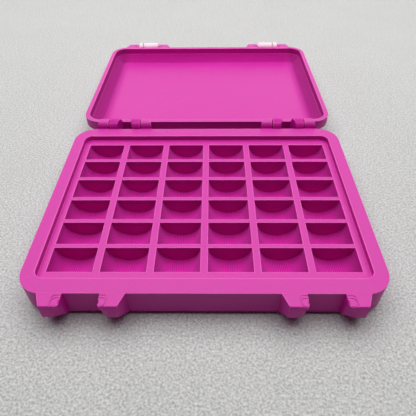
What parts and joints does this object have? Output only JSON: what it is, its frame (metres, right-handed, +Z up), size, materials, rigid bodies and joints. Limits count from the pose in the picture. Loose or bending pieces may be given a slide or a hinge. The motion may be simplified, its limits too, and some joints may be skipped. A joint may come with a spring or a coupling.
{
  "type": "bobbin storage case",
  "caption": "Shallow hinged case with rows of half-round pockets for sewing bobbins, a pan-shaped lid, split snap hinges and swinging snap latches.",
  "frame": {"origin": "centre of the base's flat underside", "axes": "+Z up; +Y from the latch ribs at the base's front towards the hinges and the open lid; +X to the right, seen from the front"},
  "size_m": [0.1636, 0.2706, 0.0205],
  "materials": {
    "case_plastic": "satin printed plastic with fine layer lines",
    "latch_plastic": "satin printed plastic, very pale"
  },
  "bodies": {
    "base": {"base_shell": "case_plastic", "pocket_row_1": "case_plastic", "pocket_row_2": "case_plastic", "pocket_row_3": "case_plastic", "pocket_row_4": "case_plastic", "pocket_row_5": "case_plastic", "pocket_row_6": "case_plastic"},
    "lid": {"lid": "case_plastic"},
    "latch_left": {"latch_left": "latch_plastic"},
    "latch_right": {"latch_right": "latch_plastic"}
  },
  "joints": [
    {"name": "lid_hinge", "type": "hinge", "parent": "base", "child": "lid", "pos_m": [0, 0.066, 0.0165], "axis": [1, 0, 0], "range_deg": [0, 181.6]},
    {"name": "latch_left_pivot", "type": "hinge", "parent": "lid", "child": "latch_left", "pos_m": [-0.05226, 0.19789, 0.01073], "axis": [1, 0, 0], "range_deg": [0, 158.8]},
    {"name": "latch_right_pivot", "type": "hinge", "parent": "lid", "child": "latch_right", "pos_m": [0.05226, 0.19789, 0.01073], "axis": [1, 0, 0], "range_deg": [0, 158.8]}
  ]
}
